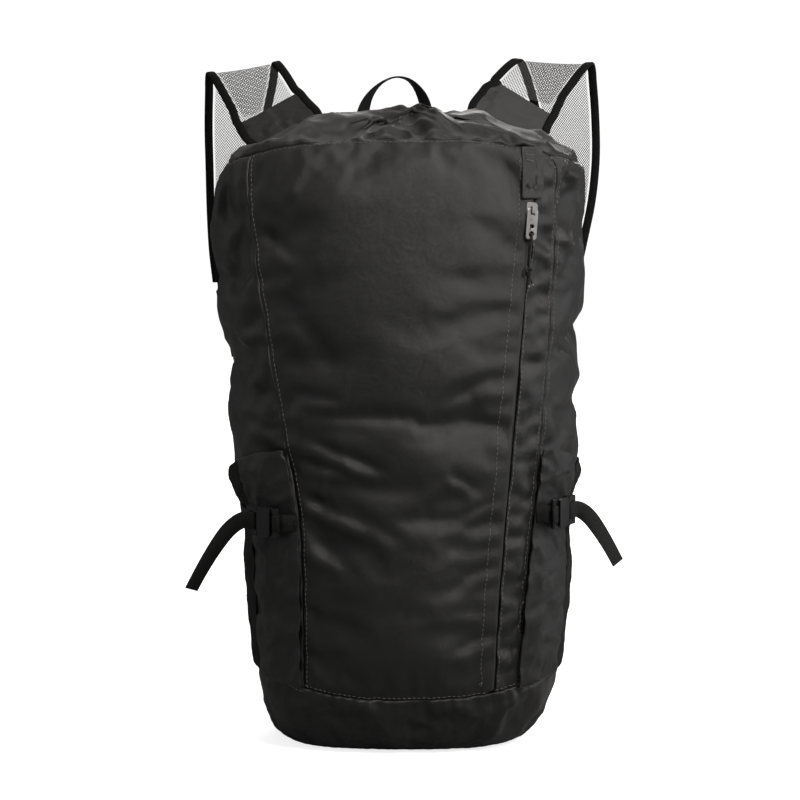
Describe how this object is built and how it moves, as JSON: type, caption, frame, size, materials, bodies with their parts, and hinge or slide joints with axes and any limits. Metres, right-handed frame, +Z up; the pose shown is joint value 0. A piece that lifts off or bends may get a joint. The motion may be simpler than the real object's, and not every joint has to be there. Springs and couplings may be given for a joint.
{
  "type": "packable backpack",
  "caption": "Packable daypack standing filled on its base: thin cloth body, front zip, side pockets under buckled straps, mesh shoulder straps and a haul loop.",
  "frame": {"origin": "on the floor under the middle of the whole pack, straps and tails included", "axes": "+Z up, -Y out of the front panel, +X to the right of someone facing the front"},
  "size_m": [0.318, 0.2174, 0.5058],
  "materials": {
    "shell": "thin coated nylon, satin, crumpled",
    "knit": "dull stretch knit",
    "zip_tape": "woven tape with a nylon coil",
    "metal": "satin cast metal",
    "pull_cord": "braided cord",
    "plastic": "moulded acetal, half gloss",
    "webbing": "ribbed nylon webbing",
    "strap_mesh": "open net",
    "binding": "grosgrain binding tape"
  },
  "bodies": {
    "pack": {"front_panel": "shell", "front_strip": "shell", "side_panel_right": "shell", "back_panel": "shell", "side_panel_left": "shell", "base_panel": "shell", "top_panel": "shell", "zip_garage": "shell", "pocket_cloth_left": "shell", "pocket_cloth_right": "shell", "strap_base_left": "shell", "strap_base_right": "shell", "pocket_knit_left": "knit", "pocket_knit_right": "knit", "front_zip_tape": "zip_tape", "main_zip_tape": "zip_tape", "zip_slider": "metal", "main_zip_slider": "metal", "buckle_socket_left": "plastic", "buckle_socket_right": "plastic", "buckle_plug_left": "plastic", "buckle_plug_right": "plastic", "strap_adjuster_left": "plastic", "strap_adjuster_right": "plastic", "compression_front_left": "webbing", "compression_front_right": "webbing", "compression_rear_left": "webbing", "compression_rear_right": "webbing", "strap_loop_left": "webbing", "strap_loop_right": "webbing", "strap_webbing_left": "webbing", "strap_webbing_right": "webbing", "haul_loop": "webbing", "strap_mesh_left": "strap_mesh", "strap_mesh_right": "strap_mesh", "strap_binding_inner_left": "binding", "strap_binding_inner_right": "binding", "strap_binding_outer_left": "binding", "strap_binding_outer_right": "binding"},
    "front_pull": {"zip_pull_tab": "metal", "zip_pull_cord": "pull_cord", "zip_pull_knot": "pull_cord"},
    "main_pull": {"main_zip_pull": "metal"}
  },
  "joints": [
    {"name": "front_pull_hinge", "type": "hinge", "parent": "pack", "child": "front_pull", "pos_m": [0.08922, -0.08553, 0.39336], "axis": [-0.9439, -0.31, 0.1141], "range_deg": [0, 150]},
    {"name": "main_pull_hinge", "type": "hinge", "parent": "pack", "child": "main_pull", "pos_m": [0.03981, 0.03651, 0.45781], "axis": [0.0196, -0.9752, 0.2204], "range_deg": [0, 150]}
  ]
}
